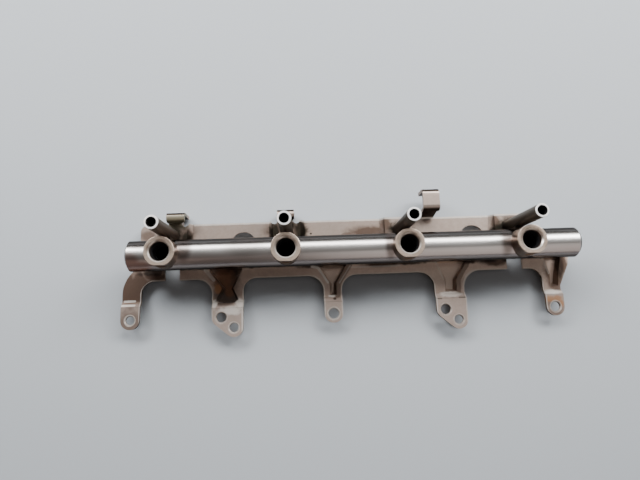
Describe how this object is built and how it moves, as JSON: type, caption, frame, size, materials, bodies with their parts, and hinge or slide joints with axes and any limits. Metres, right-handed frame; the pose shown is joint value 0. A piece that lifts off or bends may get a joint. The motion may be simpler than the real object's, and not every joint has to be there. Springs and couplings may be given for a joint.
{
  "type": "fuel rail",
  "caption": "Steel fuel rail: a closed tube with injector cups and long bolt sleeves, carried by a pressed and folded plate with joggled feet and harness hooks.",
  "frame": {"origin": "back face of the carrier plate, under the tube's axis, midway between the second and third injector cups", "axes": "+X along the tube from the left to the right end, +Y from the feet towards the hooks, +Z the way the cups and bolt sleeves point"},
  "size_m": [0.3593, 0.1107, 0.0709],
  "materials": {
    "tube_steel": "satin, heat-stained",
    "cup_steel": "satin with a braze tint",
    "sleeve_steel": "dull sides, bright cut ends",
    "plate_steel": "satin, stained brown, rust round the joggles"
  },
  "bodies": {
    "root": {"rail_tube": "tube_steel", "left_end_cap": "tube_steel", "right_end_cap": "tube_steel", "injector_cup_1": "cup_steel", "injector_cup_2": "cup_steel", "injector_cup_3": "cup_steel", "injector_cup_4": "cup_steel", "bolt_sleeve_1": "sleeve_steel", "bolt_sleeve_2": "sleeve_steel", "bolt_sleeve_3": "sleeve_steel", "bolt_sleeve_4": "sleeve_steel", "inlet_boss": "cup_steel", "carrier_plate": "plate_steel"}
  },
  "joints": []
}
